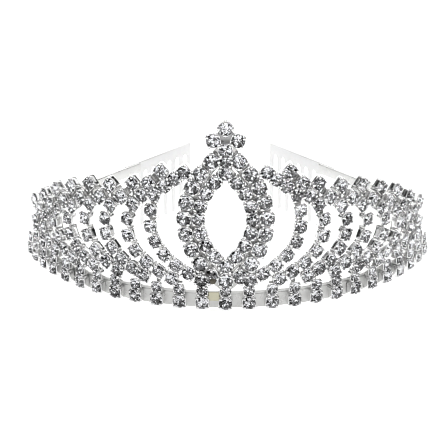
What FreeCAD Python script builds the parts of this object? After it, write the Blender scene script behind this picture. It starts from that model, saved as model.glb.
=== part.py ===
"""Bridal tiara: a rhinestone crown on a curved metal band that ends in two hair combs.

Millimetres. The tiara stands as it does on a table: the front of the band and the foremost
comb teeth touch Z = 0. +X is the wearer's left as seen from the front, the front faces -Y,
and +Z is up. The crown is laid out on the band's outside face, by the distance along the
band from its middle ("along") and the height over the band's bottom edge ("height").
"""
import FreeCAD, Part
import math
import os

document = FreeCAD.newDocument("tiara")
sheet = document.addObject("Spreadsheet::Sheet", "dimensions")

DIMENSIONS = [
    # the band, its side strips and its combs
    ("band_radius", 66.0),
    ("band_height", 5.3),
    ("band_thickness", 1.0),
    ("band_half_sweep", 79.0),
    ("leg_sweep", 126.5),
    ("leg_length", 62.7),
    ("strip_height", 3.7),
    ("strip_start_sweep", 70.0),
    ("strip_thickness", 1.0),
    ("comb_lap", 8.0),
    ("comb_teeth", 7),
    ("tooth_pitch", 4.8),
    ("tooth_width", 1.8),
    ("tooth_drop", 20.0),
    ("tooth_tip_radius", 0.8),
    # the backing strips that carry the stones
    ("rail_width", 2.4),
    ("rail_thickness", 0.8),
    ("lens_rail_width", 3.4),
    ("outer_rail_inset", 0.6),
    ("outer_rail_extra_width", 1.2),
    ("post_width", 1.4),
    # one stone in its cup
    ("cup_side", 3.9),
    ("cup_depth", 1.95),
    ("seat_radius", 1.82),
    ("seat_depth", 1.4),
    ("seat_floor_radius", 0.5),
    ("prong_side", 0.7),
    ("prong_rise", 0.75),
    ("stone_radius", 1.86),
    ("stone_table_radius", 1.0),
    ("stone_crown_height", 0.75),
    ("stone_pavilion_depth", 1.35),
    # how much larger or smaller than that the stones of each set are
    ("base_scale", 1.1),
    ("riser_scale", 0.95),
    ("outer_scale", 1.22),
    ("inner_scale", 1.1),
    ("crest_scale", 1.12),
    ("arc_scale", 1.10),
    ("finial_scale", 1.17),
    # the two rows on the band
    ("column_pitch", 7.05),
    ("columns_each_side", 12),
    ("first_row_height", 2.15),
    ("second_row_height", 6.05),
    # the pointed oval in the middle
    ("outer_half_width", 12.4),
    ("outer_half_height", 22.9),
    ("outer_centre_height", 29.3),
    ("outer_stones_each_side", 9),
    ("inner_half_width", 8.0),
    ("inner_half_height", 15.3),
    ("inner_centre_height", 29.3),
    ("inner_stones_each_side", 7),
    ("lens_foot_height", 9.7),
    ("filler_height", 48.0),
    ("finial_height", 54.6),
    ("finial_foot_height", 51.6),
    ("finial_reach", 3.65),
    ("finial_rise", 3.85),
    ("finial_lean", 15.0),
    # the crest and the arcs under it
    ("first_top_along", 19.3),
    ("second_top_along", 28.4),
    ("top_pitch", 8.0),
    ("crest_height_1", 44.1),
    ("crest_height_2", 39.1),
    ("crest_height_3", 37.3),
    ("crest_height_4", 36.1),
    ("crest_height_5", 33.4),
    ("crest_height_6", 30.3),
    ("crest_height_7", 26.0),
    ("crest_height_8", 21.8),
    ("valley_drop", 4.1),
    ("shoulder_drop", 6.8),
    ("bulge_out", 2.2),
    ("foot_height", 9.5),
    ("foot_reach_first", 15.5),
    ("foot_reach_last", 8.0),
    ("foot_power", 2.5),
    ("arc_stone_pitch", 4.95),
    ("arc_pitch_grading", 0.12),
    # the joint at the middle of the band
    ("bead_radius", 1.05),
    ("bead_along", -3.7),
    ("bead_height", 9.9),
    ("bead_out", 3.0),
    ("tab_width", 3.4),
    ("tab_height", 2.8),
    ("tab_thickness", 0.6),
    ("tab_along", -3.6),
    ("tab_middle_height", 3.8),
]

for row, (alias, value) in enumerate(DIMENSIONS, start=1):
    sheet.set("A%d" % row, alias)
    sheet.set("B%d" % row, str(value))
    sheet.setAlias("B%d" % row, alias)
document.recompute()


def size(alias):
    """One driving dimension, read back from the sheet."""
    return float(sheet.get(alias))


SIDES = (("right", 1), ("left", -1))
ARCS = range(1, 9)
RADIUS = size("band_radius")
FACE = size("band_thickness") / 2  # the face that every cup stands on, outward from the centre line


# --- where things stand on the crown ---------------------------------------------------

def crown_point(along, height, out=0.0):
    """The point at this place on the crown, "out" millimetres outside the band's centre line."""
    turn = along / RADIUS
    return FreeCAD.Vector(
        (RADIUS + out) * math.sin(turn), -(RADIUS + out) * math.cos(turn), height
    )


def crown_axes(along, lean=0.0):
    """The unit vectors across, up and outward there, the first two turned by "lean" degrees."""
    turn = along / RADIUS
    across = FreeCAD.Vector(math.cos(turn), math.sin(turn), 0)
    up = FreeCAD.Vector(0, 0, 1)
    outward = FreeCAD.Vector(math.sin(turn), -math.cos(turn), 0)
    c, s = math.cos(math.radians(lean)), math.sin(math.radians(lean))
    return across * c + up * s, up * c - across * s, outward


def crown_placement(along, height, lean=0.0, out=FACE):
    """The placement that stands a piece modelled on the XY plane on the crown."""
    x, y, z = crown_axes(along, lean)
    at = crown_point(along, height, out)
    return FreeCAD.Placement(
        FreeCAD.Matrix(
            x.x, y.x, z.x, at.x, x.y, y.y, z.y, at.y, x.z, y.z, z.z, at.z, 0, 0, 0, 1
        )
    )


def travel(path):
    """The distance walked at each point of a path of (along, height) points."""
    walked = [0.0]
    for (a0, h0), (a1, h1) in zip(path, path[1:]):
        walked.append(walked[-1] + math.hypot(a1 - a0, h1 - h0))
    return walked


def point_at(path, distance):
    """The (along, height, lean) at this distance along a path. Lean 0 is a path that runs down."""
    walked = travel(path)
    i = 1
    while i < len(walked) - 1 and walked[i] < distance:
        i += 1
    share = (distance - walked[i - 1]) / (walked[i] - walked[i - 1])
    (a0, h0), (a1, h1) = path[i - 1], path[i]
    lean = math.degrees(math.atan2(a1 - a0, h0 - h1))
    return a0 + share * (a1 - a0), h0 + share * (h1 - h0), lean


def mirrored(stones, side):
    """The same (along, height, lean) stones on the given side, 1 or -1."""
    return [(side * a, h, side * lean) for a, h, lean in stones]


# --- the layout of the crown, worked out for the +X side ------------------------------

def top_of(arc):
    """The (along, height) of the stone at the top of an arc."""
    if arc == 1:
        return size("first_top_along"), size("crest_height_1")
    along = size("second_top_along") + size("top_pitch") * (arc - 2)
    return along, size("crest_height_%d" % arc)


def shoulder_of(arc):
    """The (along, height) where an arc's own row of stones begins."""
    along, height = top_of(arc)
    if arc == 1:
        return along + 2.1, height - size("shoulder_drop") - 1.0
    return along, height - size("shoulder_drop")


def arc_path(arc):
    """The centre line of an arc from its shoulder, out round its bulge and in to its foot."""
    along, height = top_of(arc)
    start_along, start_height = shoulder_of(arc)
    bulge_along = along + size("bulge_out") + (1.3 if arc == 1 else 0.0)
    bulge_height = min(0.6 * height + 1.8, start_height - 2.0)
    foot_height = size("foot_height")
    share = (arc - 1) / 7.0
    reach = size("foot_reach_first") * (1 - share) + size("foot_reach_last") * share
    points = []
    for i in range(9):
        u = 1 - i / 8.0
        points.append((
            bulge_along - (bulge_along - start_along) * u * u,
            bulge_height + (start_height - bulge_height) * u,
        ))
    for i in range(1, 25):
        t = i / 24.0
        points.append((
            bulge_along - reach * t ** size("foot_power"),
            bulge_height - (bulge_height - foot_height) * t,
        ))
    return points


def arc_stones(arc):
    """Stones down one arc, a little closer together toward its foot."""
    path = arc_path(arc)
    length = travel(path)[-1]
    steps = round(length / size("arc_stone_pitch"))
    grading = size("arc_pitch_grading")
    stones = []
    for i in range(steps + 1):
        x = i / steps
        stones.append(point_at(path, length * x * (1 + grading * (1 - x))))
    return stones


def crest_points(arc):
    """The points of the zigzag crest from an arc's top to just before the next arc's top."""
    along, height = top_of(arc)
    if arc == 8:
        return [(along, height)]
    next_along, next_height = top_of(arc + 1)
    if arc == 1:
        return [
            (along, height),
            (along + 4.0, height - 4.2),
            (next_along - 3.0, next_height - 3.5),
        ]
    return [
        (along, height),
        ((along + next_along) / 2, (height + next_height) / 2 - size("valley_drop")),
    ]


def crest_tail():
    """The three stones that lead from the oval up to the first arc's top."""
    along, height = top_of(1)
    inner = (along - 1.2, height - 4.7)
    tip = (along - 7.1, height + 0.2)
    middle = ((inner[0] + tip[0]) / 2, (inner[1] + tip[1]) / 2)
    return [tip, middle, inner]


def crest_path():
    """Every point of the crest, from the tail's tip by the oval to the last top."""
    points = crest_tail()
    for arc in ARCS:
        points += crest_points(arc)
    return points


def crest_stones():
    """One stone at each crest point: the tail's lie along it, the rest stand on a corner."""
    tail = crest_tail()
    lean = math.degrees(math.atan2(tail[2][0] - tail[0][0], tail[0][1] - tail[2][1]))
    stones = [(a, h, lean) for a, h in tail[:2]]
    return stones + [(a, h, 45.0) for a, h in crest_path()[2:]]


def lens_half(half_width, half_height, centre_height):
    """One side of a pointed oval from its top point to its bottom point, a parabola."""
    points = []
    for i in range(33):
        t = 1 - i / 16.0
        points.append((half_width * (1 - t * t), centre_height + half_height * t))
    return points


def outer_half():
    return lens_half(size("outer_half_width"), size("outer_half_height"),
                     size("outer_centre_height"))


def inner_half():
    return lens_half(size("inner_half_width"), size("inner_half_height"),
                     size("inner_centre_height"))


def outer_lens_stones():
    """The oval's outer ring: the stones of both sides and the one at its foot."""
    path = outer_half()
    length = travel(path)[-1]
    count = int(size("outer_stones_each_side"))
    stones = [(0.0, size("lens_foot_height"), 0.0)]
    for i in range(count):
        stone = point_at(path, length * (0.108 + 0.775 * i / (count - 1)))
        stones += [stone, mirrored([stone], -1)[0]]
    return stones


def inner_lens_stones():
    """The oval's inner ring, with a stone at its top and bottom, and the filler over it."""
    path = inner_half()
    length = travel(path)[-1]
    count = int(size("inner_stones_each_side"))
    top = size("inner_centre_height") + size("inner_half_height")
    bottom = size("inner_centre_height") - size("inner_half_height")
    stones = [(0.0, top - 0.5, 0.0), (0.0, bottom + 0.2, 45.0), (0.0, size("filler_height"), 0.0)]
    for i in range(count):
        stone = point_at(path, length * (0.13 + 0.74 * i / (count - 1)))
        stones += [stone, mirrored([stone], -1)[0]]
    return stones


def finial_stones():
    """The four stones of the finial, the top one standing on a corner."""
    reach = size("finial_reach")
    height = size("finial_height")
    return [
        (0.0, height + size("finial_rise"), 45.0), (0.0, size("finial_foot_height"), 0.0),
        (reach, height, -size("finial_lean")), (-reach, height, size("finial_lean")),
    ]


def row_stones(height):
    """A row of stones along the band, one in each column."""
    each = int(size("columns_each_side"))
    return [(n * size("column_pitch"), height, 0.0) for n in range(-each, each + 1)]


def arc_height_over(along):
    """How high the lowest arc passes over this place on the band."""
    heights = []
    for arc in ARCS:
        path = arc_path(arc)
        for (a0, h0), (a1, h1) in zip(path[8:], path[9:]):
            if min(a0, a1) - 2.5 <= along <= max(a0, a1) + 0.01:
                heights.append(h1)
    return min(heights) if heights else size("foot_height")


# --- solids ------------------------------------------------------------------------------

def flat(corners):
    """A flat face with these corners."""
    return Part.Face(Part.makePolygon(corners + corners[:1]))


def strip(path, width, near, far, side=1):
    """A flat strip along a crown path, from "near" to "far" outside the band's centre line."""
    sections = []
    for i, (along, height) in enumerate(path):
        before, after = path[max(i - 1, 0)], path[min(i + 1, len(path) - 1)]
        run, rise = after[0] - before[0], after[1] - before[1]
        length = math.hypot(run, rise)
        over = -rise / length * width / 2
        lift = run / length * width / 2
        corners = [
            crown_point(side * (along - over), height - lift, near),
            crown_point(side * (along + over), height + lift, near),
            crown_point(side * (along + over), height + lift, far),
            crown_point(side * (along - over), height - lift, far),
        ]
        sections.append(corners)
    faces = []
    for a, b, c, d in (sections[0][::-1], sections[-1]):
        faces += [flat([a, b, c]), flat([a, c, d])]
    for one, two in zip(sections, sections[1:]):
        for i in range(4):
            j = (i + 1) % 4
            faces.append(flat([one[i], one[j], two[j]]))
            faces.append(flat([one[i], two[j], two[i]]))
    solid = Part.makeSolid(Part.makeShell(faces))
    if solid.Volume < 0:
        solid.reverse()
    return solid


def backing_box(width, height, foot):
    """A flat strip upright on the XY plane, "height" long from y = "foot", behind the cups' backs."""
    thickness = size("rail_thickness")
    return Part.makeBox(width, height, thickness, FreeCAD.Vector(-width / 2, foot, -thickness))


def zigzag(path, width, near, far, side=1):
    """A strip with sharp corners: one straight strip for each step, joined together."""
    pieces = []
    for (a0, h0), (a1, h1) in zip(path, path[1:]):
        length = math.hypot(a1 - a0, h1 - h0)
        over = (a1 - a0) / length * width / 2
        up = (h1 - h0) / length * width / 2
        pieces.append(strip([(a0 - over, h0 - up), (a1 + over, h1 + up)], width, near, far, side))
    return pieces[0].multiFuse(pieces[1:]).removeSplitter()


def octagon(radius, height):
    """The corners of a level octagon whose flats face the four prongs."""
    return [
        FreeCAD.Vector(
            radius * math.cos(math.radians(22.5 + 45 * i)),
            radius * math.sin(math.radians(22.5 + 45 * i)),
            height,
        )
        for i in range(8)
    ]


def stone_solid():
    """A faceted stone whose widest line sits just over the cup's rim."""
    girdle_height = size("cup_depth") + 0.05
    girdle = octagon(size("stone_radius"), girdle_height)
    table = octagon(size("stone_table_radius"), girdle_height + size("stone_crown_height"))
    point = FreeCAD.Vector(0, 0, girdle_height - size("stone_pavilion_depth"))
    faces = [flat(table)]
    for i in range(8):
        j = (i + 1) % 8
        faces.append(flat([girdle[i], girdle[j], table[j], table[i]]))
        faces.append(flat([girdle[j], girdle[i], point]))
    return Part.makeSolid(Part.makeShell(faces))


def placed_copies(master, stones, scale=1.0):
    """One compound with a copy of the master solid at each (along, height, lean)."""
    if scale != 1.0:
        master = master.copy()
        master.scale(scale)
    copies = []
    for along, height, lean in stones:
        copy = master.copy()
        copy.Placement = crown_placement(along, height, lean)
        copies.append(copy)
    return Part.makeCompound(copies)


# --- how the tiara stands ----------------------------------------------------------------

heading = math.radians(size("leg_sweep"))
leg_along = FreeCAD.Vector(math.cos(heading), math.sin(heading), 0)
leg_start = FreeCAD.Vector(RADIUS * math.sin(heading), -RADIUS * math.cos(heading), 0)
toothed = size("tooth_pitch") * (size("comb_teeth") - 1) + size("tooth_width")
front_tooth = size("leg_length") - toothed
front_tooth_y = (leg_start + leg_along * front_tooth).y
front_y = -(RADIUS + FACE + size("base_scale") * (size("cup_depth") + size("prong_rise")))
front_z = size("first_row_height") - size("base_scale") * size("cup_side") / 2
stand_angle = math.degrees(math.atan2(size("tooth_drop") + front_z, front_tooth_y - front_y))
tilt = FreeCAD.Rotation(FreeCAD.Vector(1, 0, 0), stand_angle)
lowest = tilt.multVec(FreeCAD.Vector(0, front_y, front_z)).z
STANDING = FreeCAD.Placement(FreeCAD.Vector(0, 0, -lowest), tilt)

# --- objects ---------------------------------------------------------------------------

parts = []


def finish(thing, label, own=None):
    """Label a finished object, stand it up with the rest and list it for export."""
    thing.Label = label
    thing.Placement = STANDING.multiply(own) if own else STANDING
    parts.append(thing)
    return thing


def bind(thing, **expressions):
    """Drive an object's properties from the sheet."""
    for name, expression in expressions.items():
        thing.setExpression(name, expression)
    return thing


def part_object(kind, name, **expressions):
    return bind(document.addObject("Part::" + kind, name), **expressions)


def cut(name, base, tool):
    thing = document.addObject("Part::Cut", name)
    thing.Base = base
    thing.Tool = tool
    return thing


def fuse(name, shapes):
    thing = document.addObject("Part::MultiFuse", name)
    thing.Shapes = shapes
    thing.Refine = True
    return thing


def made(label, shape, own=None):
    """A crown piece whose surface twists round the band, built with the kernel's functions."""
    thing = document.addObject("Part::Feature", label)
    thing.Shape = shape
    return finish(thing, label, own)


def ring_sector(name, inner, outer, height, sweep):
    """Part of a ring with its first end on +X, from sheet expressions."""
    wall = part_object("Cylinder", name + "_wall", Radius=outer, Height=height, Angle=sweep)
    hollow = part_object("Cylinder", name + "_hollow", Radius=inner, Height=height)
    return cut(name, wall, hollow)


def turned(degrees, x=0.0, y=0.0, z=0.0):
    """A placement turned about Z, then moved."""
    return FreeCAD.Placement(
        FreeCAD.Vector(x, y, z), FreeCAD.Rotation(FreeCAD.Vector(0, 0, 1), degrees)
    )


S = "dimensions."
band = ring_sector(
    "base_band",
    S + "band_radius - " + S + "band_thickness / 2",
    S + "band_radius + " + S + "band_thickness / 2",
    S + "band_height",
    "2 * " + S + "band_half_sweep",
)
finish(band, "base_band", turned(-90 - size("band_half_sweep")))

strip_inner = S + "band_radius - " + S + "band_thickness / 2 - " + S + "strip_thickness"
strip_outer = S + "band_radius - " + S + "band_thickness / 2"
strip_z = size("band_height") - size("strip_height")
strip_leg = size("leg_length") - toothed - 1.0
for name, side in SIDES:
    bend = ring_sector(
        "strip_bend_" + name, strip_inner, strip_outer, S + "strip_height",
        S + "leg_sweep - " + S + "strip_start_sweep",
    )
    leg = part_object(
        "Box", "strip_leg_" + name,
        Length=S + "leg_length - " + S + "tooth_pitch * (" + S + "comb_teeth - 1) - "
               + S + "tooth_width - 1",
        Width=S + "strip_thickness",
        Height=S + "strip_height",
    )
    first = -90 + size("strip_start_sweep") if side > 0 else -90 - size("leg_sweep")
    bend.Placement = turned(first)
    spot = leg_start - FreeCAD.Vector(leg_along.y, -leg_along.x, 0) * FACE
    if side > 0:
        leg.Placement = turned(size("leg_sweep"), spot.x, spot.y)
    else:
        tail = spot + leg_along * strip_leg
        leg.Placement = turned(-size("leg_sweep"), -tail.x, tail.y)
    side_strip = fuse("side_strip_" + name, [bend, leg])
    finish(side_strip, "side_strip_" + name, FreeCAD.Placement(
        FreeCAD.Vector(0, 0, strip_z), FreeCAD.Rotation()))

for name, side in SIDES:
    plate = part_object(
        "Box", "comb_plate_" + name,
        Length=S + "comb_lap + " + S + "tooth_pitch * (" + S + "comb_teeth - 1) + "
               + S + "tooth_width",
        Width=S + "band_thickness",
        Height=S + "tooth_drop + " + S + "band_height",
    )
    below = S + "tooth_drop + " + S + "band_height - " + S + "strip_height"
    gap = "(" + S + "tooth_pitch - " + S + "tooth_width)"
    tools = []
    lap_cut = part_object(
        "Box", "comb_lap_cut_" + name,
        Length=S + "comb_lap", Width=S + "band_thickness", Height=below,
    )
    tools.append(lap_cut)
    for i in range(int(size("comb_teeth")) - 1):
        start = S + "comb_lap + " + S + "tooth_width + %d * " % i + S + "tooth_pitch"
        slot = part_object(
            "Box", "comb_slot_%s_%d" % (name, i),
            Length=gap, Width=S + "band_thickness", Height=below + " - " + gap + " / 2",
        )
        slot.setExpression("Placement.Base.x", start)
        crown = part_object(
            "Cylinder", "comb_arch_%s_%d" % (name, i),
            Radius=gap + " / 2", Height=S + "band_thickness",
        )
        crown.Placement.Rotation = FreeCAD.Rotation(FreeCAD.Vector(1, 0, 0), -90)
        crown.setExpression("Placement.Base.x", start + " + " + gap + " / 2")
        crown.setExpression("Placement.Base.z", below + " - " + gap + " / 2")
        tools += [slot, crown]
    comb = cut("comb_cut_" + name, plate, fuse("comb_gaps_" + name, tools))
    document.recompute()
    rounded = document.addObject("Part::Fillet", "comb_" + name)
    rounded.Base = comb
    tips = []
    for number, edge in enumerate(comb.Shape.Edges, start=1):
        ends = [vertex.Point for vertex in edge.Vertexes]
        if len(ends) == 2 and abs(ends[0].y - ends[1].y) > 0.5 and max(p.z for p in ends) < 0.01:
            tips.append((number, size("tooth_tip_radius"), size("tooth_tip_radius")))
    rounded.Edges = tips
    at = leg_start + leg_along * (front_tooth - size("comb_lap"))
    out = FreeCAD.Vector(leg_along.y, -leg_along.x, 0) * FACE
    z = -size("tooth_drop")
    if side > 0:
        place = turned(size("leg_sweep"), at.x + out.x, at.y + out.y, z)
    else:
        # the left comb is the right one turned over, so its lap still points forward
        place = FreeCAD.Placement(
            FreeCAD.Vector(-at.x + out.x, at.y - out.y, z),
            FreeCAD.Rotation(FreeCAD.Vector(0, 0, 1), 180 - size("leg_sweep")),
        )
    finish(rounded, "comb_" + name, place)

# backing strips of the crown
near, far = FACE - size("rail_thickness"), FACE
rail_width = size("rail_width")
inset = size("outer_rail_inset")
outer_rail_half = lens_half(size("outer_half_width") - inset,
                            size("outer_half_height") - 1.5 * inset,
                            size("outer_centre_height"))
inner_rail_width = size("lens_rail_width")
outer_rail_width = inner_rail_width + size("outer_rail_extra_width")
for label, half, width in (
    ("lens_outer_rail", outer_rail_half, outer_rail_width),
    ("lens_inner_rail", inner_half(), inner_rail_width),
):
    halves = []
    for _, side in SIDES:
        keep = Part.makeBox(40, 100, 100, FreeCAD.Vector(0 if side > 0 else -40, -100, 0))
        halves.append(strip(half[::2], width, near, far, side).common(keep))
    made(label, Part.makeCompound([solid for shape in halves for solid in shape.Solids]))

plate_side = 1.8 * size("finial_reach")
plate = backing_box(plate_side, plate_side, -plate_side / 2)
plate.Placement = crown_placement(0.0, size("finial_height"), 45.0)
stem_foot = size("inner_centre_height") + size("inner_half_height") + 1.3
stem_top = size("outer_centre_height") + size("outer_half_height") - 3.6
stem = backing_box(rail_width, stem_top - stem_foot, 0.0)
stem.Placement = crown_placement(0.0, stem_foot)
made("finial_backing", Part.makeCompound([plate, stem]))

for name, side in SIDES:
    made("crest_rail_" + name, zigzag(crest_path(), rail_width, near, far, side))
    for arc in ARCS:
        along, height = top_of(arc)
        lead = shoulder_of(arc)
        start = (along + (lead[0] - along) * 0.35, height - 2.4)
        made("arc_rail_%s_%d" % (name, arc),
             strip([start] + arc_path(arc)[::2], rail_width, near, far, side))

posts = []
post_width = size("post_width")
for along, _, _ in row_stones(0.0):
    over = arc_height_over(abs(along)) if along else size("lens_foot_height") - 2.0
    tall = over - rail_width / 2 - size("band_height")
    post = backing_box(post_width, tall, 0.0)
    post.Placement = crown_placement(along, size("band_height"))
    posts.append(post)
made("riser_posts", Part.makeCompound(posts))

# one cup, driven by the sheet, and one stone
cup_block = part_object(
    "Box", "cup_block", Length=S + "cup_side", Width=S + "cup_side", Height=S + "cup_depth")
cup_block.setExpression("Placement.Base.x", "-" + S + "cup_side / 2")
cup_block.setExpression("Placement.Base.y", "-" + S + "cup_side / 2")
seat = part_object(
    "Cone", "cup_seat", Radius1=S + "seat_floor_radius", Radius2=S + "seat_radius",
    Height=S + "seat_depth")
seat.setExpression("Placement.Base.z", S + "cup_depth - " + S + "seat_depth")
bowl = cut("cup_bowl", cup_block, seat)
prongs = []
for number, (px, py) in enumerate(((0, 0), (1, 0), (0, 1), (1, 1))):
    prong = part_object(
        "Box", "cup_prong_%d" % number, Length=S + "prong_side", Width=S + "prong_side",
        Height=S + "cup_depth + " + S + "prong_rise")
    for letter, far_side in (("x", px), ("y", py)):
        edge = "-" + S + "cup_side / 2"
        if far_side:
            edge = S + "cup_side / 2 - " + S + "prong_side"
        prong.setExpression("Placement.Base." + letter, edge)
    prongs.append(prong)
cup = fuse("cup_master", [bowl] + prongs)
document.recompute()
cup_solid = cup.Shape.Solids[0]
stone = stone_solid()


def made_set(cups_label, stones_label, stones, scale=1.0):
    """The cups and the crystals of one set of stones, as two nodes."""
    made(cups_label, placed_copies(cup_solid, stones, scale))
    made(stones_label, placed_copies(stone, stones, scale))


made_set("base_cups", "base_crystals", row_stones(size("first_row_height")),
         size("base_scale"))
made_set("riser_cups", "riser_crystals", row_stones(size("second_row_height")),
         size("riser_scale"))
made_set("lens_outer_cups", "lens_outer_crystals", outer_lens_stones(), size("outer_scale"))
made_set("lens_inner_cups", "lens_inner_crystals", inner_lens_stones(), size("inner_scale"))
made_set("finial_cups", "finial_crystals", finial_stones(), size("finial_scale"))
for name, side in SIDES:
    made_set("crest_cups_" + name, "crest_crystals_" + name, mirrored(crest_stones(), side),
             size("crest_scale"))
for arc in ARCS:
    both = mirrored(arc_stones(arc), 1) + mirrored(arc_stones(arc), -1)
    made_set("arc_cups_%d" % arc, "arc_crystals_%d" % arc, both, size("arc_scale"))

# the joint at the middle: a solder bead beside the oval's foot and the tab under it
made("solder_bead", Part.makeSphere(size("bead_radius")),
     crown_placement(size("bead_along"), size("bead_height"), 0.0, FACE + size("bead_out")))
tab = Part.makeBox(
    size("tab_width"), size("tab_height"), size("tab_thickness"),
    FreeCAD.Vector(-size("tab_width") / 2, -size("tab_height") / 2, 0),
)
made("joint_tab", tab, crown_placement(size("tab_along"), size("tab_middle_height")))

# --- checks and export -------------------------------------------------------------------

document.recompute()
reach = FreeCAD.BoundBox()
for thing in parts:
    reach.add(thing.Shape.BoundBox)
for thing in parts:
    # the middle of the whole tiara's box comes over the origin, and its lowest point onto Z = 0
    thing.Placement.Base -= FreeCAD.Vector(reach.Center.x, reach.Center.y, reach.ZMin)
document.recompute()
for thing in document.Objects:
    if "Invalid" in thing.State or "Error" in thing.State:
        raise RuntimeError("%s did not build: %s" % (thing.Label, thing.State))
for thing in parts:
    if thing.Shape.isNull() or not thing.Shape.isValid():
        raise RuntimeError("%s has no valid shape" % thing.Label)

os.makedirs("parts", exist_ok=True)
for thing in parts:
    thing.Shape.exportStep("parts/%s.step" % thing.Label)
print("wrote", len(parts), "nodes; the band leans back by", round(stand_angle, 3), "degrees")
print("the band's frame moved by", parts[0].Placement.multiply(
    turned(-90 - size("band_half_sweep")).inverse()).Base)
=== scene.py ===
"""Looks for the bridal tiara: bevelled metal, pronged cups and faceted foil-backed crystals.

The layout repeats the CAD part's formulas in millimetres on the band's outside face: "along" is
the distance round the band from its middle and "height" is over the band's bottom edge. Every
point is then stood up and turned into metres, so the pieces lie in the frame's own coordinates.
"""
import math
import random

import bmesh
import bpy
from mathutils import Matrix, Vector


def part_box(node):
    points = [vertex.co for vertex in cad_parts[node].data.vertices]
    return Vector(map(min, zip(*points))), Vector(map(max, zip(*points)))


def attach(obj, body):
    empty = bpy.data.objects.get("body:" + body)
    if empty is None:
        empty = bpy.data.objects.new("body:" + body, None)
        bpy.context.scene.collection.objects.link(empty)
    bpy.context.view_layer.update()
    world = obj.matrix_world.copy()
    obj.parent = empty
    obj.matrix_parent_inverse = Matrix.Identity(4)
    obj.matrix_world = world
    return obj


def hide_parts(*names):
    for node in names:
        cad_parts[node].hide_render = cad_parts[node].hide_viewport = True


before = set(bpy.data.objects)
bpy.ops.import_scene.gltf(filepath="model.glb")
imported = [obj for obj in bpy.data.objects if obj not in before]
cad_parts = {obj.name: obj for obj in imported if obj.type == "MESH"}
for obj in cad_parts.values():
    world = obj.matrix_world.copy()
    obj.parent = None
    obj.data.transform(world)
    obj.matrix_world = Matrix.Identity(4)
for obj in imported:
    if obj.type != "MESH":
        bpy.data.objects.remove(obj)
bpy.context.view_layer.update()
random.seed(20)

# --- sizes in millimetres -------------------------------------------------------------------
RADIUS = 66.0
BAND_HEIGHT = 5.3
BAND_HALF_SWEEP = 79.0
FACE = 0.5
LEG_SWEEP = 126.5
LEG_LENGTH = 62.7
STRIP_HEIGHT = 3.7
STRIP_START_SWEEP = 70.0
COMB_LAP = 8.0
COMB_TEETH = 7
TOOTH_PITCH = 4.8
TOOTH_WIDTH = 1.8
TOOTH_DROP = 20.0
TOOTH_ROOT_DEPTH = 4.0
TOOTH_TAPER = 0.25
RAIL_WIDTH = 2.4
RAIL_THICKNESS = 0.8
LENS_RAIL_WIDTH = 3.4
OUTER_RAIL_INSET = 0.6
OUTER_RAIL_DROP = 1.5 * OUTER_RAIL_INSET
OUTER_RAIL_EXTRA_WIDTH = 1.2
POST_WIDTH = 1.4
POST_CATCH = 2.5
LENS_POST_GAP = 2.0
CUP_SIDE = 3.9
CUP_DEPTH = 1.95
PRONG_RISE = 0.75
STONE_RADIUS = 1.86
STONE_CROWN = 0.72
STONE_PAVILION = 1.35
BASE_SCALE = 1.1
RISER_SCALE = 0.95
OUTER_SCALE = 1.22
INNER_SCALE = 1.1
CREST_SCALE = 1.12
ARC_SCALE = 1.10
FINIAL_SCALE = 1.17
FINIAL_LEAN = 15.0
COLUMN_PITCH = 7.05
COLUMNS_EACH_SIDE = 12
FIRST_ROW_HEIGHT = 2.15
SECOND_ROW_HEIGHT = 6.05
# half width, half height and centre height of the pointed ovals
OUTER_LENS = (12.4, 22.9, 29.3)
INNER_LENS = (8.0, 15.3, 29.3)
# stones on each side, and the shares of the way down where they start and that they span
OUTER_RING = (9, 0.108, 0.775)
INNER_RING = (7, 0.13, 0.74)
INNER_TOP_DROP = 0.5
INNER_FOOT_RISE = 0.2
LENS_FOOT_HEIGHT = 9.7
FILLER_HEIGHT = 48.0
FINIAL_HEIGHT = 54.6
FINIAL_FOOT_HEIGHT = 51.6
FINIAL_REACH = 3.65
FINIAL_RISE = 3.85
FINIAL_PLATE_SIDE = 1.8 * FINIAL_REACH
STEM_FOOT_GAP = 1.3
STEM_TOP_GAP = 3.6
FIRST_TOP_ALONG = 19.3
SECOND_TOP_ALONG = 28.4
TOP_PITCH = 8.0
CREST_HEIGHTS = (44.1, 39.1, 37.3, 36.1, 33.4, 30.3, 26.0, 21.8)
VALLEY_DROP = 4.1
SHOULDER_DROP = 6.8
FIRST_SHOULDER = (2.1, 1.0)
# (along, height) steps: from the first peak down to the second, and from it to the oval
FIRST_CREST_STEPS = ((4.0, -4.2), (-3.0, -3.5))
CREST_TAIL_STEPS = ((-1.2, -4.7), (-7.1, 0.2))
BULGE_OUT = 2.2
BULGE_HEIGHT_SHARE = 0.6
BULGE_HEIGHT_BASE = 1.8
FIRST_BULGE_EXTRA = 1.3
FOOT_HEIGHT = 9.5
FOOT_REACH = (15.5, 8.0)
FOOT_POWER = 2.5
ARC_STONE_PITCH = 4.95
ARC_PITCH_GRADING = 0.12
ARC_LEAD_SHARE = 0.35
ARC_LEAD_DROP = 2.4
# along, height, radius and how far out its middle is
BEAD = (-3.7, 9.9, 1.05, 3.0)
# along, height, width, height of the plate and thickness
TAB = (-3.6, 3.8, 3.4, 2.8, 0.6)

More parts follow.
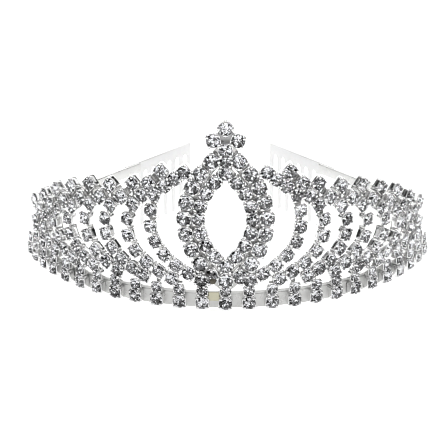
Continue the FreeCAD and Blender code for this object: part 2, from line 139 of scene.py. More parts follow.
# --- how the tiara stands -------------------------------------------------------------------
TOOTHED = TOOTH_PITCH * (COMB_TEETH - 1) + TOOTH_WIDTH
HEADING = math.radians(LEG_SWEEP)
LEG_ALONG = Vector((math.cos(HEADING), math.sin(HEADING), 0))
LEG_OUT = Vector((math.sin(HEADING), -math.cos(HEADING), 0))
LEG_START = LEG_OUT * RADIUS
front_tooth_y = (LEG_START + LEG_ALONG * (LEG_LENGTH - TOOTHED)).y
front_y = -(RADIUS + FACE + BASE_SCALE * (CUP_DEPTH + PRONG_RISE))
front_z = FIRST_ROW_HEIGHT - BASE_SCALE * CUP_SIDE / 2
TILT = math.atan2(TOOTH_DROP + front_z, front_tooth_y - front_y)
band_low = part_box("base_band")[0]
outer = RADIUS + FACE
shift_y = band_low[1] * 1000 + outer * math.cos(TILT) + BAND_HEIGHT * math.sin(TILT)
shift_z = band_low[2] * 1000 + outer * math.sin(TILT)
STAND = (
    Matrix.Scale(0.001, 4)
    @ Matrix.Translation((0, shift_y, shift_z))
    @ Matrix.Rotation(TILT, 4, "X")
)


def crown_point(along, height, out=0.0):
    """The point at this place on the crown, "out" millimetres outside the band's centre line."""
    turn = along / RADIUS
    return Vector(((RADIUS + out) * math.sin(turn), -(RADIUS + out) * math.cos(turn), height))


def crown_matrix(along, height, lean=0.0, out=FACE):
    """Stands a piece that is modelled on the XY plane on the crown, turned by "lean" degrees."""
    turn = along / RADIUS
    across = Vector((math.cos(turn), math.sin(turn), 0))
    up = Vector((0, 0, 1))
    outward = Vector((math.sin(turn), -math.cos(turn), 0))
    c, s = math.cos(math.radians(lean)), math.sin(math.radians(lean))
    x, y = across * c + up * s, up * c - across * s
    m = Matrix((x, y, outward)).transposed().to_4x4()
    m.translation = crown_point(along, height, out)
    return m


def travel(path):
    """The distance walked at each point of a path."""
    walked = [0.0]
    for (a0, h0), (a1, h1) in zip(path, path[1:]):
        walked.append(walked[-1] + math.hypot(a1 - a0, h1 - h0))
    return walked


def point_at(path, distance):
    """The (along, height, lean) at this distance along a path. Lean 0 is a path that runs down."""
    walked = travel(path)
    i = 1
    while i < len(walked) - 1 and walked[i] < distance:
        i += 1
    share = (distance - walked[i - 1]) / (walked[i] - walked[i - 1])
    (a0, h0), (a1, h1) = path[i - 1], path[i]
    lean = math.degrees(math.atan2(a1 - a0, h0 - h1))
    return a0 + share * (a1 - a0), h0 + share * (h1 - h0), lean


def mirrored(stones, side):
    """The same stones on the +X side (1) or the -X side (-1)."""
    return [(side * a, h, side * lean) for a, h, lean in stones]


# --- the layout of the crown, worked out for the +X side ------------------------------------

def top_of(arc):
    """The place of the crest's peak over an arc."""
    if arc == 1:
        return FIRST_TOP_ALONG, CREST_HEIGHTS[0]
    return SECOND_TOP_ALONG + TOP_PITCH * (arc - 2), CREST_HEIGHTS[arc - 1]


def shoulder_of(arc):
    """The place under the peak where the arc begins."""
    along, height = top_of(arc)
    if arc == 1:
        return along + FIRST_SHOULDER[0], height - SHOULDER_DROP - FIRST_SHOULDER[1]
    return along, height - SHOULDER_DROP


def arc_path(arc):
    """The centre line of an arc from its shoulder, out round its bulge and in to its foot."""
    along, height = top_of(arc)
    start_along, start_height = shoulder_of(arc)
    bulge_along = along + BULGE_OUT + (FIRST_BULGE_EXTRA if arc == 1 else 0.0)
    bulge_height = min(BULGE_HEIGHT_SHARE * height + BULGE_HEIGHT_BASE, start_height - 2.0)
    share = (arc - 1) / 7.0
    reach = FOOT_REACH[0] * (1 - share) + FOOT_REACH[1] * share
    points = []
    for i in range(9):
        u = 1 - i / 8.0
        points.append((
            bulge_along - (bulge_along - start_along) * u * u,
            bulge_height + (start_height - bulge_height) * u,
        ))
    for i in range(1, 25):
        t = i / 24.0
        points.append((
            bulge_along - reach * t ** FOOT_POWER,
            bulge_height - (bulge_height - FOOT_HEIGHT) * t,
        ))
    return points


def arc_stones(arc):
    """Stones down an arc, a little further apart at its top."""
    path = arc_path(arc)
    length = travel(path)[-1]
    steps = round(length / ARC_STONE_PITCH)
    stones = []
    for i in range(steps + 1):
        x = i / steps
        stones.append(point_at(path, length * x * (1 + ARC_PITCH_GRADING * (1 - x))))
    return stones


def crest_points(arc):
    """The peak over an arc and the valley or valleys after it."""
    along, height = top_of(arc)
    if arc == 8:
        return [(along, height)]
    next_along, next_height = top_of(arc + 1)
    if arc == 1:
        after, before = FIRST_CREST_STEPS
        return [
            (along, height),
            (along + after[0], height + after[1]),
            (next_along + before[0], next_height + before[1]),
        ]
    return [
        (along, height),
        ((along + next_along) / 2, (height + next_height) / 2 - VALLEY_DROP),
    ]


def crest_tail():
    """The three points from beside the oval up to the first peak."""
    along, height = top_of(1)
    inner, tip = [(along + run, height + rise) for run, rise in CREST_TAIL_STEPS]
    return [tip, ((inner[0] + tip[0]) / 2, (inner[1] + tip[1]) / 2), inner]


def crest_path():
    points = crest_tail()
    for arc in range(1, 9):
        points += crest_points(arc)
    return points


def crest_stones():
    tail = crest_tail()
    lean = math.degrees(math.atan2(tail[2][0] - tail[0][0], tail[0][1] - tail[2][1]))
    return [(a, h, lean) for a, h in tail[:2]] + [(a, h, 45.0) for a, h in crest_path()[2:]]


def lens_half(half_width, half_height, centre_height):
    """One side of a pointed oval from its top point to its bottom point, a parabola."""
    points = []
    for i in range(33):
        t = 1 - i / 16.0
        points.append((half_width * (1 - t * t), centre_height + half_height * t))
    return points


def both_sides(path, count, start, span):
    """Stones spread along a path and mirrored to the other side."""
    length = travel(path)[-1]
    stones = []
    for i in range(count):
        stone = point_at(path, length * (start + span * i / (count - 1)))
        stones += [stone, mirrored([stone], -1)[0]]
    return stones


def outer_lens_stones():
    ring = both_sides(lens_half(*OUTER_LENS), *OUTER_RING)
    return [(0.0, LENS_FOOT_HEIGHT, 0.0)] + ring


def inner_lens_stones():
    top = INNER_LENS[2] + INNER_LENS[1]
    bottom = INNER_LENS[2] - INNER_LENS[1]
    ring = both_sides(lens_half(*INNER_LENS), *INNER_RING)
    return [
        (0.0, top - INNER_TOP_DROP, 0.0), (0.0, bottom + INNER_FOOT_RISE, 45.0),
        (0.0, FILLER_HEIGHT, 0.0),
    ] + ring


def finial_stones():
    return [
        (0.0, FINIAL_HEIGHT + FINIAL_RISE, 45.0), (0.0, FINIAL_FOOT_HEIGHT, 0.0),
        (FINIAL_REACH, FINIAL_HEIGHT, -FINIAL_LEAN), (-FINIAL_REACH, FINIAL_HEIGHT, FINIAL_LEAN),
    ]


def row_stones(height):
    return [
        (n * COLUMN_PITCH, height, 0.0) for n in range(-COLUMNS_EACH_SIDE, COLUMNS_EACH_SIDE + 1)
    ]


def arc_height_over(along):
    """The height of the lowest hoop over this place on the band."""
    heights = []
    for arc in range(1, 9):
        path = arc_path(arc)
        for (a0, h0), (a1, h1) in zip(path[8:], path[9:]):
            if min(a0, a1) - POST_CATCH <= along <= max(a0, a1) + 0.01:
                heights.append(h1)
    return min(heights) if heights else FOOT_HEIGHT


# --- materials ------------------------------------------------------------------------------

def material(name, color, metallic, roughness, grain, bump, spread, transmission=0.0, ior=1.5):
    """A shader whose roughness and surface vary with fine noise of "grain" marks a metre."""
    made = bpy.data.materials.new(name)
    made.use_nodes = True
    nodes, links = made.node_tree.nodes, made.node_tree.links
    shader = nodes["Principled BSDF"]
    shader.inputs["Base Color"].default_value = (*color, 1)
    shader.inputs["Metallic"].default_value = metallic
    shader.inputs["IOR"].default_value = ior
    shader.inputs["Transmission Weight"].default_value = transmission
    place = nodes.new("ShaderNodeTexCoord")
    noise = nodes.new("ShaderNodeTexNoise")
    noise.inputs["Scale"].default_value = grain
    noise.inputs["Detail"].default_value = 4.0
    links.new(place.outputs["Object"], noise.inputs["Vector"])
    spreader = nodes.new("ShaderNodeMapRange")
    spreader.inputs["From Min"].default_value = 0.3
    spreader.inputs["From Max"].default_value = 0.7
    spreader.inputs["To Min"].default_value = max(roughness - spread, 0.0)
    spreader.inputs["To Max"].default_value = roughness + spread
    links.new(noise.outputs["Fac"], spreader.inputs["Value"])
    links.new(spreader.outputs["Result"], shader.inputs["Roughness"])
    tone = nodes.new("ShaderNodeMix")
    tone.data_type = "RGBA"
    tone.inputs["A"].default_value = (*[c * 0.9 for c in color], 1)
    tone.inputs["B"].default_value = (*color, 1)
    links.new(noise.outputs["Fac"], tone.inputs["Factor"])
    links.new(tone.outputs["Result"], shader.inputs["Base Color"])
    if bump:
        raised = nodes.new("ShaderNodeBump")
        raised.inputs["Strength"].default_value = bump
        raised.inputs["Distance"].default_value = 0.0001
        links.new(noise.outputs["Fac"], raised.inputs["Height"])
        links.new(raised.outputs["Normal"], shader.inputs["Normal"])
    return made


CUP_METAL = material("cup_metal", (0.82, 0.82, 0.82), 1.0, 0.14, 900, 0.15, 0.06)
RAIL_METAL = material("rail_metal", (0.54, 0.54, 0.53), 1.0, 0.18, 700, 0.1, 0.06)
BAND_METAL = material("band_metal", (0.60, 0.60, 0.59), 1.0, 0.30, 500, 0.08, 0.05)
STRIP_METAL = material("strip_metal", (0.70, 0.70, 0.69), 1.0, 0.30, 500, 0.08, 0.05)
COMB_METAL = material("comb_metal", (0.74, 0.74, 0.74), 1.0, 0.34, 500, 0.08, 0.06)
# Darker copy of the rail metal: painted shade on the backing behind the finial stones.
SHADED_BACKING_METAL = material("backing_metal_painted_shade", (0.42, 0.42, 0.42), 1.0, 0.30, 700, 0.2, 0.08)
SOLDER = material("solder", (0.12, 0.11, 0.085), 0.6, 0.35, 1500, 0.4, 0.1)
BARE_METAL = material("bare_metal", (0.60, 0.58, 0.45), 1.0, 0.35, 900, 0.2, 0.08)
CRYSTAL = material("crystal", (0.98, 0.985, 1.0), 0.0, 0.0, 400, 0.0, 0.004, 1.0, 1.6)
FOIL = material("foil", (0.95, 0.95, 0.96), 1.0, 0.02, 400, 0.0, 0.01)
# Near-black facet material: painted dark reflections, standing in for the dark surroundings that
# the facets would mirror.
PAINTED_DARK_REFLECTION = material("painted_dark_reflection", (0.02, 0.02, 0.02), 0.6, 0.08, 400, 0.0, 0.02)


# --- mesh helpers -------------------------------------------------------------------------------

def piece(name, points, faces, materials, nodes, smooth=None, material_of=None):
    """A finished piece from points in millimetres in the band's own frame."""
    mesh = bpy.data.meshes.new(name)
    mesh.from_pydata([STAND @ Vector(p) for p in points], [], faces)
    for made in materials:
        mesh.materials.append(made)
    if material_of:
        for polygon, index in zip(mesh.polygons, material_of):
            polygon.material_index = index
    mesh.validate()
    shell = bmesh.new()
    shell.from_mesh(mesh)
    bmesh.ops.recalc_face_normals(shell, faces=shell.faces)
    shell.to_mesh(mesh)
    shell.free()
    if smooth is not None:
        for polygon in mesh.polygons:
            polygon.use_smooth = True
        mesh.set_sharp_from_angle(angle=math.radians(smooth))
    made = bpy.data.objects.new(name, mesh)
    bpy.context.collection.objects.link(made)
    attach(made, "root")
    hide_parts(*nodes)


def rounded(half_width, low, high, radius, steps=3):
    """The corners of a rounded rectangle, as (width, depth) points anticlockwise."""
    points = []
    middle = (low + high) / 2
    half = (high - low) / 2
    for sx, sy, first in ((1, 1, 0), (-1, 1, 90), (-1, -1, 180), (1, -1, 270)):
        for i in range(steps + 1):
            a = math.radians(first + 90 * i / steps)
            points.append((
                sx * (half_width - radius) + radius * math.cos(a),
                middle + sy * (half - radius) + radius * math.sin(a),
            ))
    return points


def loft(sections, closed=False):
    """Points and faces that join equal rings of points one after the other."""
    points = [p for ring in sections for p in ring]
    n = len(sections[0])
    faces = []
    count = len(sections)
    for r in range(count if closed else count - 1):
        s = (r + 1) % count
        for i in range(n):
            j = (i + 1) % n
            faces.append((r * n + i, r * n + j, s * n + j, s * n + i))
    if not closed:
        faces.append(tuple(reversed(range(n))))
        faces.append(tuple((count - 1) * n + i for i in range(n)))
    return points, faces


def strip_sections(path, width, near, far, side, radius=0.25):
    """Rounded sections of a flat strip along a crown path, mitred at its corners."""
    profile = rounded(width / 2, near, far, radius)
    sections = []
    for i, (along, height) in enumerate(path):
        before, after = path[max(i - 1, 0)], path[min(i + 1, len(path) - 1)]
        directions = []
        for (a0, h0), (a1, h1) in ((before, path[i]), (path[i], after)):
            length = math.hypot(a1 - a0, h1 - h0)
            if length:
                directions.append(((a1 - a0) / length, (h1 - h0) / length))
        run = sum(d[0] for d in directions)
        rise = sum(d[1] for d in directions)
        length = math.hypot(run, rise)
        run, rise = run / length, rise / length
        mitre = 1.0
        if len(directions) == 2:
            mitre = 1 / max(run * directions[0][0] + rise * directions[0][1], 0.5)
        ring = []
        for w, d in profile:
            ring.append(crown_point(
                side * (along - rise * w * mitre), height + run * w * mitre, d))
        sections.append(ring if side > 0 else ring[::-1])
    return sections


def joined(parts):
    """Several (points, faces) lists as one."""
    points, faces = [], []
    for more, their_faces in parts:
        base = len(points)
        points += list(more)
        faces += [tuple(base + i for i in face) for face in their_faces]
    return points, faces


def copied(master, matrices):
    """The master's (points, faces) once for each matrix."""
    points, faces = master
    return joined([([m @ p for p in points], faces) for m in matrices])


# --- the band, its side strips and its combs --------------------------------------------------
near, far = FACE - RAIL_THICKNESS, FACE
BEVEL = 0.2
GROOVE_TOP, GROOVE_FOOT, GROOVE_DEPTH = 4.72, 4.42, 0.16

band_profile = [
    (BEVEL, -FACE), (0.05, -FACE + 0.05), (0.0, -FACE + BEVEL), (0.0, FACE - BEVEL),
    (0.05, FACE - 0.05), (BEVEL, FACE), (GROOVE_FOOT, FACE),
    (GROOVE_FOOT + 0.08, FACE - GROOVE_DEPTH), (GROOVE_TOP - 0.08, FACE - GROOVE_DEPTH),
    (GROOVE_TOP, FACE), (BAND_HEIGHT - BEVEL, FACE), (BAND_HEIGHT - 0.05, FACE - 0.05),
    (BAND_HEIGHT, FACE - BEVEL), (BAND_HEIGHT, -FACE + BEVEL),
    (BAND_HEIGHT - 0.05, -FACE + 0.05), (BAND_HEIGHT - BEVEL, -FACE),
]
half_along = math.radians(BAND_HALF_SWEEP) * RADIUS
sections = []
for i in range(161):
    along = half_along * (i / 80.0 - 1)
    sections.append([crown_point(along, z, d) for z, d in band_profile])
points, faces = loft(sections)
piece("base_band", points, faces, [BAND_METAL], ["base_band"], 30)


def leg_point(distance, height, out, side):
    """A point on the band's straight end, "distance" millimetres past the bend."""
    p = LEG_START + LEG_ALONG * distance + LEG_OUT * out
    return Vector((side * p.x, p.y, height))


strip_foot = BAND_HEIGHT - STRIP_HEIGHT
strip_profile = [
    (z + strip_foot + STRIP_HEIGHT / 2, d)
    for z, d in rounded(STRIP_HEIGHT / 2, -FACE - 1.0, -FACE, 0.3)
]
for side, name in ((1, "right"), (-1, "left")):
    sections = []
    for i in range(49):
        sweep = STRIP_START_SWEEP + (LEG_SWEEP - STRIP_START_SWEEP) * i / 48.0
        along = side * math.radians(sweep) * RADIUS
        sections.append([crown_point(along, z, d) for z, d in strip_profile])
    for distance in (8.0, 16.0, 24.0, LEG_LENGTH - TOOTHED - 1.0):
        sections.append([leg_point(distance, z, d, side) for z, d in strip_profile])
    points, faces = loft(sections)
    piece("side_strip_" + name, points, faces, [STRIP_METAL],
          ["side_strip_" + name], 30)


def comb_outline():
    """The comb's outline as (distance, height) points: a spine with rounded teeth below."""
    start = LEG_LENGTH - TOOTHED
    gap = TOOTH_PITCH - TOOTH_WIDTH
    points = [
        (start - COMB_LAP, strip_foot), (start - COMB_LAP, BAND_HEIGHT),
        (LEG_LENGTH, BAND_HEIGHT),
    ]
    for tooth in reversed(range(COMB_TEETH)):
        left = start + tooth * TOOTH_PITCH
        right = left + TOOTH_WIDTH
        middle = (left + right) / 2
        tip = TOOTH_WIDTH / 2 - TOOTH_TAPER
        points.append((right, strip_foot - TOOTH_ROOT_DEPTH))
        for i in range(7):
            a = math.radians(-180 * i / 6.0)
            points.append((middle + tip * math.cos(a), -TOOTH_DROP + tip + tip * math.sin(a)))
        if tooth:
            points.append((left, strip_foot - TOOTH_ROOT_DEPTH))
            for i in range(9):
                a = math.radians(180 * i / 8.0)
                points.append((
                    left - gap / 2 + gap / 2 * math.cos(a),
                    strip_foot - gap / 2 + gap / 2 * math.sin(a),
                ))
    points.append((start, strip_foot - 1.5))
    points.append((start - 0.4, strip_foot - 0.4))
    points.append((start - 1.5, strip_foot))
    return points


def filled_plate(outline, low, high, bevel):
    """Points and faces of a plate with rounded edges, as (x, y, depth)."""
    curve = bpy.data.curves.new("plate", "CURVE")
    curve.dimensions = "2D"
    curve.fill_mode = "BOTH"
    curve.extrude = (high - low) / 2 - bevel
    curve.bevel_depth = bevel
    curve.bevel_resolution = 2
    curve.offset = -bevel
    spline = curve.splines.new("POLY")
    spline.points.add(len(outline) - 1)
    for point, (x, y) in zip(spline.points, outline):
        point.co = (x, y, 0, 1)
    spline.use_cyclic_u = True
    holder = bpy.data.objects.new("plate", curve)
    bpy.context.collection.objects.link(holder)
    mesh = bpy.data.meshes.new_from_object(
        holder.evaluated_get(bpy.context.evaluated_depsgraph_get()))
    middle = (low + high) / 2
    points = [(v.co.x, v.co.y, v.co.z + middle) for v in mesh.vertices]
    faces = [tuple(p.vertices) for p in mesh.polygons]
    bpy.data.objects.remove(holder)
    bpy.data.curves.remove(curve)
    bpy.data.meshes.remove(mesh)
    return points, faces


plate_points, plate_faces = filled_plate(comb_outline(), -FACE, FACE, 0.22)
for side, name in ((1, "right"), (-1, "left")):
    points = [leg_point(x, y, d, side) for x, y, d in plate_points]
    piece("comb_" + name, points, plate_faces, [COMB_METAL],
          ["comb_" + name], 35)

# --- the backing strips -----------------------------------------------------------------------

outer_shape = (
    OUTER_LENS[0] - OUTER_RAIL_INSET, OUTER_LENS[1] - OUTER_RAIL_DROP, OUTER_LENS[2])
for label, shape, width in (
    ("lens_outer_rail", outer_shape, LENS_RAIL_WIDTH + OUTER_RAIL_EXTRA_WIDTH),
    ("lens_inner_rail", INNER_LENS, LENS_RAIL_WIDTH),
):
    half = lens_half(*shape)
    ring = half + [(-a, h) for a, h in reversed(half[1:-1])]
    count = len(ring)
    sections = []
    profile = rounded(width / 2, near, far, 0.25)
    for i, (along, height) in enumerate(ring):
        (a0, h0), (a1, h1) = ring[i - 1], ring[(i + 1) % count]
        run, rise = a1 - a0, h1 - h0
        length = math.hypot(run, rise)
        run, rise = run / length, rise / length
        mitre = 1.0
        if i in (0, count // 2):
            mitre = 1.25
        sections.append([
            crown_point(along - rise * w * mitre, height + run * w * mitre, d)
            for w, d in profile
        ])
    points, faces = loft(sections, closed=True)
    piece(label, points, faces, [RAIL_METAL], [label], 30)

for side, name in ((1, "right"), (-1, "left")):
    points, faces = loft(strip_sections(crest_path(), RAIL_WIDTH, near, far, side))
    piece("crest_rail_" + name, points, faces, [RAIL_METAL],
          ["crest_rail_" + name], 30)
    for arc in range(1, 9):
        along, height = top_of(arc)
        lead = shoulder_of(arc)
        start = (along + (lead[0] - along) * ARC_LEAD_SHARE, height - ARC_LEAD_DROP)
        points, faces = loft(
            strip_sections([start] + arc_path(arc), RAIL_WIDTH, near, far, side))
        node = "arc_rail_%s_%d" % (name, arc)
        piece(node, points, faces, [RAIL_METAL], [node], 30)

parts = []
for along, _, _ in row_stones(0.0):
    over = arc_height_over(abs(along)) if along else LENS_FOOT_HEIGHT - LENS_POST_GAP
    top = over - RAIL_WIDTH / 2
    parts.append(loft(strip_sections(
        [(along, BAND_HEIGHT), (along, (BAND_HEIGHT + top) / 2), (along, top)],
        POST_WIDTH, near, far, 1, 0.2)))
points, faces = joined(parts)
piece("riser_posts", points, faces, [RAIL_METAL], ["riser_posts"], 30)

stem_foot = INNER_LENS[2] + INNER_LENS[1] + STEM_FOOT_GAP
stem_top = OUTER_LENS[2] + OUTER_LENS[1] - STEM_TOP_GAP
half_side = FINIAL_PLATE_SIDE / 2
plate = rounded(half_side, -half_side, half_side, 0.5)
plate_points, plate_faces = filled_plate(plate, -RAIL_THICKNESS, 0.0, 0.15)
upright = crown_matrix(0.0, FINIAL_HEIGHT, 45.0)
parts = [
    ([upright @ Vector(p) for p in plate_points], plate_faces),
    loft(strip_sections([(0.0, stem_foot), (0.0, (stem_foot + stem_top) / 2), (0.0, stem_top)],
                        RAIL_WIDTH, near, far, 1)),
]
points, faces = joined(parts)
# The finial backing takes the darker metal: painted shade behind the finial stones.
piece("finial_backing", points, faces, [SHADED_BACKING_METAL], ["finial_backing"], 30)


# --- cups and crystals ------------------------------------------------------------------------

def cup_master():
    """A square cup with rounded edges, a round seat and four claws bent over the stone."""
    sides = 32
    half = CUP_SIDE / 2

    def square_ring(reach, z, corner):
        ring = []
        for i in range(sides):
            a = 2 * math.pi * (i + 0.5) / sides
            c, s = math.cos(a), math.sin(a)
            stretch = 1 / max(abs(c), abs(s))
            x, y = c * stretch, s * stretch
            limit = 1 - corner / reach
            if abs(x) > limit and abs(y) > limit:
                dx, dy = abs(x) - limit, abs(y) - limit
                k = (corner / reach) / math.hypot(dx, dy)
                x = math.copysign(limit + dx * k, x)
                y = math.copysign(limit + dy * k, y)
            ring.append(Vector((reach * x, reach * y, z)))
        return ring

    def round_ring(radius, z):
        return [
            Vector((
                radius * math.cos(2 * math.pi * (i + 0.5) / sides),
                radius * math.sin(2 * math.pi * (i + 0.5) / sides),
                z,
            ))
            for i in range(sides)
        ]

    rings = [
        square_ring(half - 0.15, 0.0, 0.7),
        square_ring(half - 0.03, 0.05, 0.75),
        square_ring(half, 0.18, 0.8),
        square_ring(half, CUP_DEPTH - 0.35, 0.8),
        square_ring(half - 0.02, CUP_DEPTH - 0.22, 0.8),
        square_ring(half - 0.08, CUP_DEPTH - 0.15, 0.8),
        round_ring(1.80, CUP_DEPTH - 0.12),
        round_ring(1.74, CUP_DEPTH - 0.2),
        round_ring(1.1, CUP_DEPTH - 0.95),
        round_ring(0.45, CUP_DEPTH - 1.45),
    ]
    bowl = loft(rings)
    claw_path = (
        (2.16, 0.75, 0.16, 0.46), (2.22, 1.30, 0.19, 0.46), (2.20, 1.80, 0.19, 0.42),
        (2.10, 2.20, 0.18, 0.38), (1.90, 2.44, 0.16, 0.34), (1.64, 2.52, 0.13, 0.28),
        (1.48, 2.50, 0.08, 0.18),
    )
    claw_rings = []
    for i, (r, z, thick, wide) in enumerate(claw_path):
        before, after = claw_path[max(i - 1, 0)], claw_path[min(i + 1, len(claw_path) - 1)]
        run = Vector((after[0] - before[0], after[1] - before[1])).normalized()
        normal = Vector((run.y, -run.x))
        ring = []
        for k in range(10):
            a = 2 * math.pi * k / 10
            over = thick * math.copysign(abs(math.cos(a)) ** 0.6, math.cos(a))
            side = wide * math.copysign(abs(math.sin(a)) ** 0.6, math.sin(a))
            ring.append(Vector((r + normal.x * over, side, z + normal.y * over)))
        claw_rings.append(ring)
    claw = loft(claw_rings)
    turns = [Matrix.Rotation(math.radians(45 + 90 * k), 4, "Z") for k in range(4)]
    return joined([bowl, copied(claw, turns)])


def crystal_master():
    """A round brilliant: clear crown and table, and a foiled pavilion of mains and halves."""
    girdle = CUP_DEPTH + 0.02

    def ring(count, radius, z, phase):
        return [
            Vector((
                radius * math.cos(2 * math.pi * (i + phase) / count),
                radius * math.sin(2 * math.pi * (i + phase) / count),
                z,
            ))
            for i in range(count)
        ]

    table = ring(8, STONE_RADIUS * 0.56, girdle + STONE_CROWN, 0.5)
    middle = ring(8, STONE_RADIUS * 0.80, girdle + STONE_CROWN * 0.52, 0.0)
    rim = ring(16, STONE_RADIUS, girdle, 0.0)
    under = ring(16, STONE_RADIUS, girdle - 0.08, 0.0)
    keel = ring(8, STONE_RADIUS * 0.34, girdle - 0.08 - STONE_PAVILION * 0.66, 0.5)
    points = table + middle + rim + under + keel + [Vector((0, 0, girdle - STONE_PAVILION))]
    t, m, r, u, k, c = 0, 8, 16, 32, 48, 56
    faces, foil = [tuple(range(8))], [0]

    def add(face, is_foil):
        faces.append(face)
        foil.append(is_foil)

    for i in range(8):
        j = (i + 1) % 8
        add((m + j, t + j, t + i), 0)
        add((m + j, r + (2 * j + 1) % 16, t + j), 0)
        add((m + j, t + i, r + (2 * j - 1) % 16), 0)
        add((m + j, r + 2 * j, r + (2 * j + 1) % 16), 0)
        add((m + j, r + (2 * j - 1) % 16, r + 2 * j), 0)
        add((u + 2 * i, u + (2 * i + 1) % 16, k + i), 1)
        add((u + (2 * i + 1) % 16, u + (2 * i + 2) % 16, k + i), 1)
        add((u + (2 * j) % 16, k + j, k + i), 1)
        add((k + i, k + j, c), 1)
    for i in range(16):
        j = (i + 1) % 16
        add((r + i, u + i, u + j, r + j), 0)
    return points, faces, foil


CUP = cup_master()
CRYSTAL_POINTS, CRYSTAL_FACES, CRYSTAL_FOIL = crystal_master()
CUP_WOBBLE = 3.0
STONE_WOBBLE = 5.0
LEAN_WOBBLE = 4.0
# Shares of pavilion and crown facets given the near-black material, as painted dark reflections.
PAINTED_DARK_PAVILION_SHARE = 0.19
PAINTED_DARK_CROWN_SHARE = 0.10


def wobble(degrees):
    """A small random tilt about both axes of the stone."""
    x, y = random.uniform(-degrees, degrees), random.uniform(-degrees, degrees)
    return Matrix.Rotation(math.radians(x), 4, "X") @ Matrix.Rotation(math.radians(y), 4, "Y")


def stone_set(cups_label, crystals_label, stones, scale=1.0):
    """The cups and the crystals of one set of stones, each set a little out of true, with a random
    share of facets painted near black as painted dark reflections.
    """
    cup_matrices, stone_matrices = [], []
    lift = Matrix.Translation((0, 0, CUP_DEPTH))
    for along, height, lean in stones:
        base = crown_matrix(along, height, lean + random.uniform(-LEAN_WOBBLE, LEAN_WOBBLE))
        base = base @ Matrix.Scale(scale, 4)
        cup_matrices.append(base @ wobble(CUP_WOBBLE))
        turn = Matrix.Rotation(math.radians(random.uniform(0, 45)), 4, "Z")
        stone_matrices.append(base @ lift @ wobble(STONE_WOBBLE) @ turn @ lift.inverted())
    points, faces = copied(CUP, cup_matrices)
    piece(cups_label, points, faces, [CUP_METAL], [cups_label], 40)
    points, faces = copied((CRYSTAL_POINTS, CRYSTAL_FACES), stone_matrices)
    # Some facets of each stone get the near-black material: painted dark reflections.
    shades = []
    for _ in stones:
        for number, is_foil in enumerate(CRYSTAL_FOIL):
            share = PAINTED_DARK_PAVILION_SHARE if is_foil else PAINTED_DARK_CROWN_SHARE
            painted_dark_facet = number > 0 and random.random() < share
            shades.append(2 if painted_dark_facet else is_foil)
    piece(crystals_label, points, faces, [CRYSTAL, FOIL, PAINTED_DARK_REFLECTION],
          [crystals_label], material_of=shades)


stone_set("base_cups", "base_crystals", row_stones(FIRST_ROW_HEIGHT), BASE_SCALE)
stone_set("riser_cups", "riser_crystals", row_stones(SECOND_ROW_HEIGHT), RISER_SCALE)
stone_set("lens_outer_cups", "lens_outer_crystals", outer_lens_stones(), OUTER_SCALE)
stone_set("lens_inner_cups", "lens_inner_crystals", inner_lens_stones(), INNER_SCALE)
stone_set("finial_cups", "finial_crystals", finial_stones(), FINIAL_SCALE)
for side, name in ((1, "right"), (-1, "left")):
    stone_set("crest_cups_" + name, "crest_crystals_" + name,
              mirrored(crest_stones(), side), CREST_SCALE)
for arc in range(1, 9):
    both = mirrored(arc_stones(arc), 1) + mirrored(arc_stones(arc), -1)
    stone_set("arc_cups_%d" % arc, "arc_crystals_%d" % arc, both, ARC_SCALE)

# --- the joint at the middle ------------------------------------------------------------------

along, height, radius, bead_out = BEAD
rings = []
for i in range(13):
    a = math.pi * i / 12.0
    z = bead_out - radius * math.cos(a)
    r = max(radius * math.sin(a), 0.02)
    rings.append([
        Vector((
            r * (1 + 0.06 * math.sin(3 * b)) * math.cos(b), r * 0.94 * math.sin(b), z,
        ))
        for b in [2 * math.pi * k / 20 for k in range(20)]
    ])
points, faces = loft(rings)
at = crown_matrix(along, height)
piece("solder_bead", [at @ p for p in points], faces, [SOLDER], ["solder_bead"], 60)

along, height, width, tall, thick = TAB
points, faces = filled_plate(rounded(width / 2, -tall / 2, tall / 2, 0.4), 0.0, thick, 0.15)
at = crown_matrix(along, height)
piece("joint_tab", [at @ Vector(p) for p in points], faces, [BARE_METAL],
      ["joint_tab"], 40)

# --- studio -------------------------------------------------------------------------------------
YAW = math.radians(0.59)
ELEVATION = math.radians(19.96)
DISTANCE = 640.0
LENS = 149.46
SENSOR = 36.0
SHIFT = (-0.00865, 0.02335)
FLOOR_RADIUS = 3.0
FLOOR_GLOW = 0.6
WALL_HALF_WIDTH = 4.0
WALL_DISTANCE = 2.4
WALL_HEIGHT = 2.2
WALL_GLOW = 1.2
PANEL_SCALE = 5.0
# where each level of the light tent's panels starts, and its brightness
PANEL_LEVELS = ((0.0, 0.01), (0.40, 0.18), (0.52, 0.75), (0.72, 1.5))
camera_data = bpy.data.cameras.new("camera")
camera_data.lens = LENS
camera_data.sensor_width = SENSOR
camera_data.shift_x, camera_data.shift_y = SHIFT
camera_data.clip_start = 0.01
camera_data.clip_end = 20.0
camera = bpy.data.objects.new("camera", camera_data)
bpy.context.collection.objects.link(camera)
yawed = Matrix.Rotation(YAW, 3, "Z")
look = yawed @ Vector((0, math.cos(ELEVATION), -math.sin(ELEVATION)))
up = yawed @ Vector((0, math.sin(ELEVATION), math.cos(ELEVATION)))
right = look.cross(up)
turn = Matrix((right, up, -look)).transposed().to_4x4()
stood = Matrix.Rotation(TILT, 4, "X") @ turn
stood.translation = STAND @ (look * -DISTANCE)
camera.matrix_world = stood
bpy.context.scene.camera = camera


def paper_sheet(name, points, glow):
    """A staged flat sheet of pale paper that glows a little."""
    paper = material(name + "_paper", (0.93, 0.93, 0.93), 0.0, 0.85, 60, 0.0, 0.05)
    shader = paper.node_tree.nodes["Principled BSDF"]
    shader.inputs["Emission Color"].default_value = (1, 1, 1, 1)
    shader.inputs["Emission Strength"].default_value = glow
    mesh = bpy.data.meshes.new(name)
    mesh.from_pydata(points, [], [tuple(range(len(points)))])
    mesh.materials.append(paper)
    sheet = bpy.data.objects.new(name, mesh)
    bpy.context.collection.objects.link(sheet)


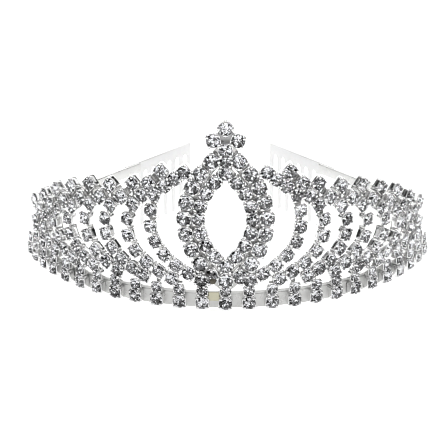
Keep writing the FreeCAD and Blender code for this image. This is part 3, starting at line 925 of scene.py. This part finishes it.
turns = [2 * math.pi * i / 64 for i in range(64)]
paper_sheet(
    "floor", [(FLOOR_RADIUS * math.cos(a), FLOOR_RADIUS * math.sin(a), 0) for a in turns],
    FLOOR_GLOW)
paper_sheet("backdrop", [
    (-WALL_HALF_WIDTH, WALL_DISTANCE, 0), (WALL_HALF_WIDTH, WALL_DISTANCE, 0),
    (WALL_HALF_WIDTH, WALL_DISTANCE, WALL_HEIGHT), (-WALL_HALF_WIDTH, WALL_DISTANCE, WALL_HEIGHT),
], WALL_GLOW)

world = bpy.data.worlds.new("studio")
bpy.context.scene.world = world
world.use_nodes = True
nodes, links = world.node_tree.nodes, world.node_tree.links
nodes.clear()
place = nodes.new("ShaderNodeTexCoord")
cells = nodes.new("ShaderNodeTexVoronoi")
cells.inputs["Scale"].default_value = PANEL_SCALE
links.new(place.outputs["Generated"], cells.inputs["Vector"])
split = nodes.new("ShaderNodeSeparateColor")
links.new(cells.outputs["Color"], split.inputs["Color"])
ramp = nodes.new("ShaderNodeValToRGB")
ramp.color_ramp.interpolation = "CONSTANT"
stops = ramp.color_ramp.elements
for number, (position, level) in enumerate(PANEL_LEVELS):
    stop = stops[number] if number < 2 else stops.new(position)
    stop.position = position
    stop.color = (level, level, level, 1)
links.new(split.outputs["Red"], ramp.inputs["Fac"])
panels = nodes.new("ShaderNodeBackground")
links.new(ramp.outputs["Color"], panels.inputs["Color"])
panels.inputs["Strength"].default_value = 1.0
backdrop = nodes.new("ShaderNodeBackground")
backdrop.inputs["Color"].default_value = (1, 1, 1, 1)
backdrop.inputs["Strength"].default_value = 1.0
seen = nodes.new("ShaderNodeLightPath")
mix = nodes.new("ShaderNodeMixShader")
links.new(seen.outputs["Is Camera Ray"], mix.inputs["Fac"])
links.new(panels.outputs["Background"], mix.inputs[1])
links.new(backdrop.outputs["Background"], mix.inputs[2])
output = nodes.new("ShaderNodeOutputWorld")
links.new(mix.outputs["Shader"], output.inputs["Surface"])


def softbox(name, at, aim, width, power):
    """A square light that points at "aim"."""
    lamp = bpy.data.lights.new(name, "AREA")
    lamp.shape = "SQUARE"
    lamp.size = width
    lamp.energy = power
    holder = bpy.data.objects.new(name, lamp)
    bpy.context.collection.objects.link(holder)
    holder.location = at
    holder.rotation_mode = "QUATERNION"
    holder.rotation_quaternion = (Vector(aim) - Vector(at)).to_track_quat("-Z", "Y")


softbox("top_light", (0.0, 0.1, 1.6), (0, 0, 0), 1.6, 10)

# --- finish -------------------------------------------------------------------------------------
bpy.context.scene.view_settings.view_transform = "Standard"
bpy.context.scene.cycles.filter_width = 1.0
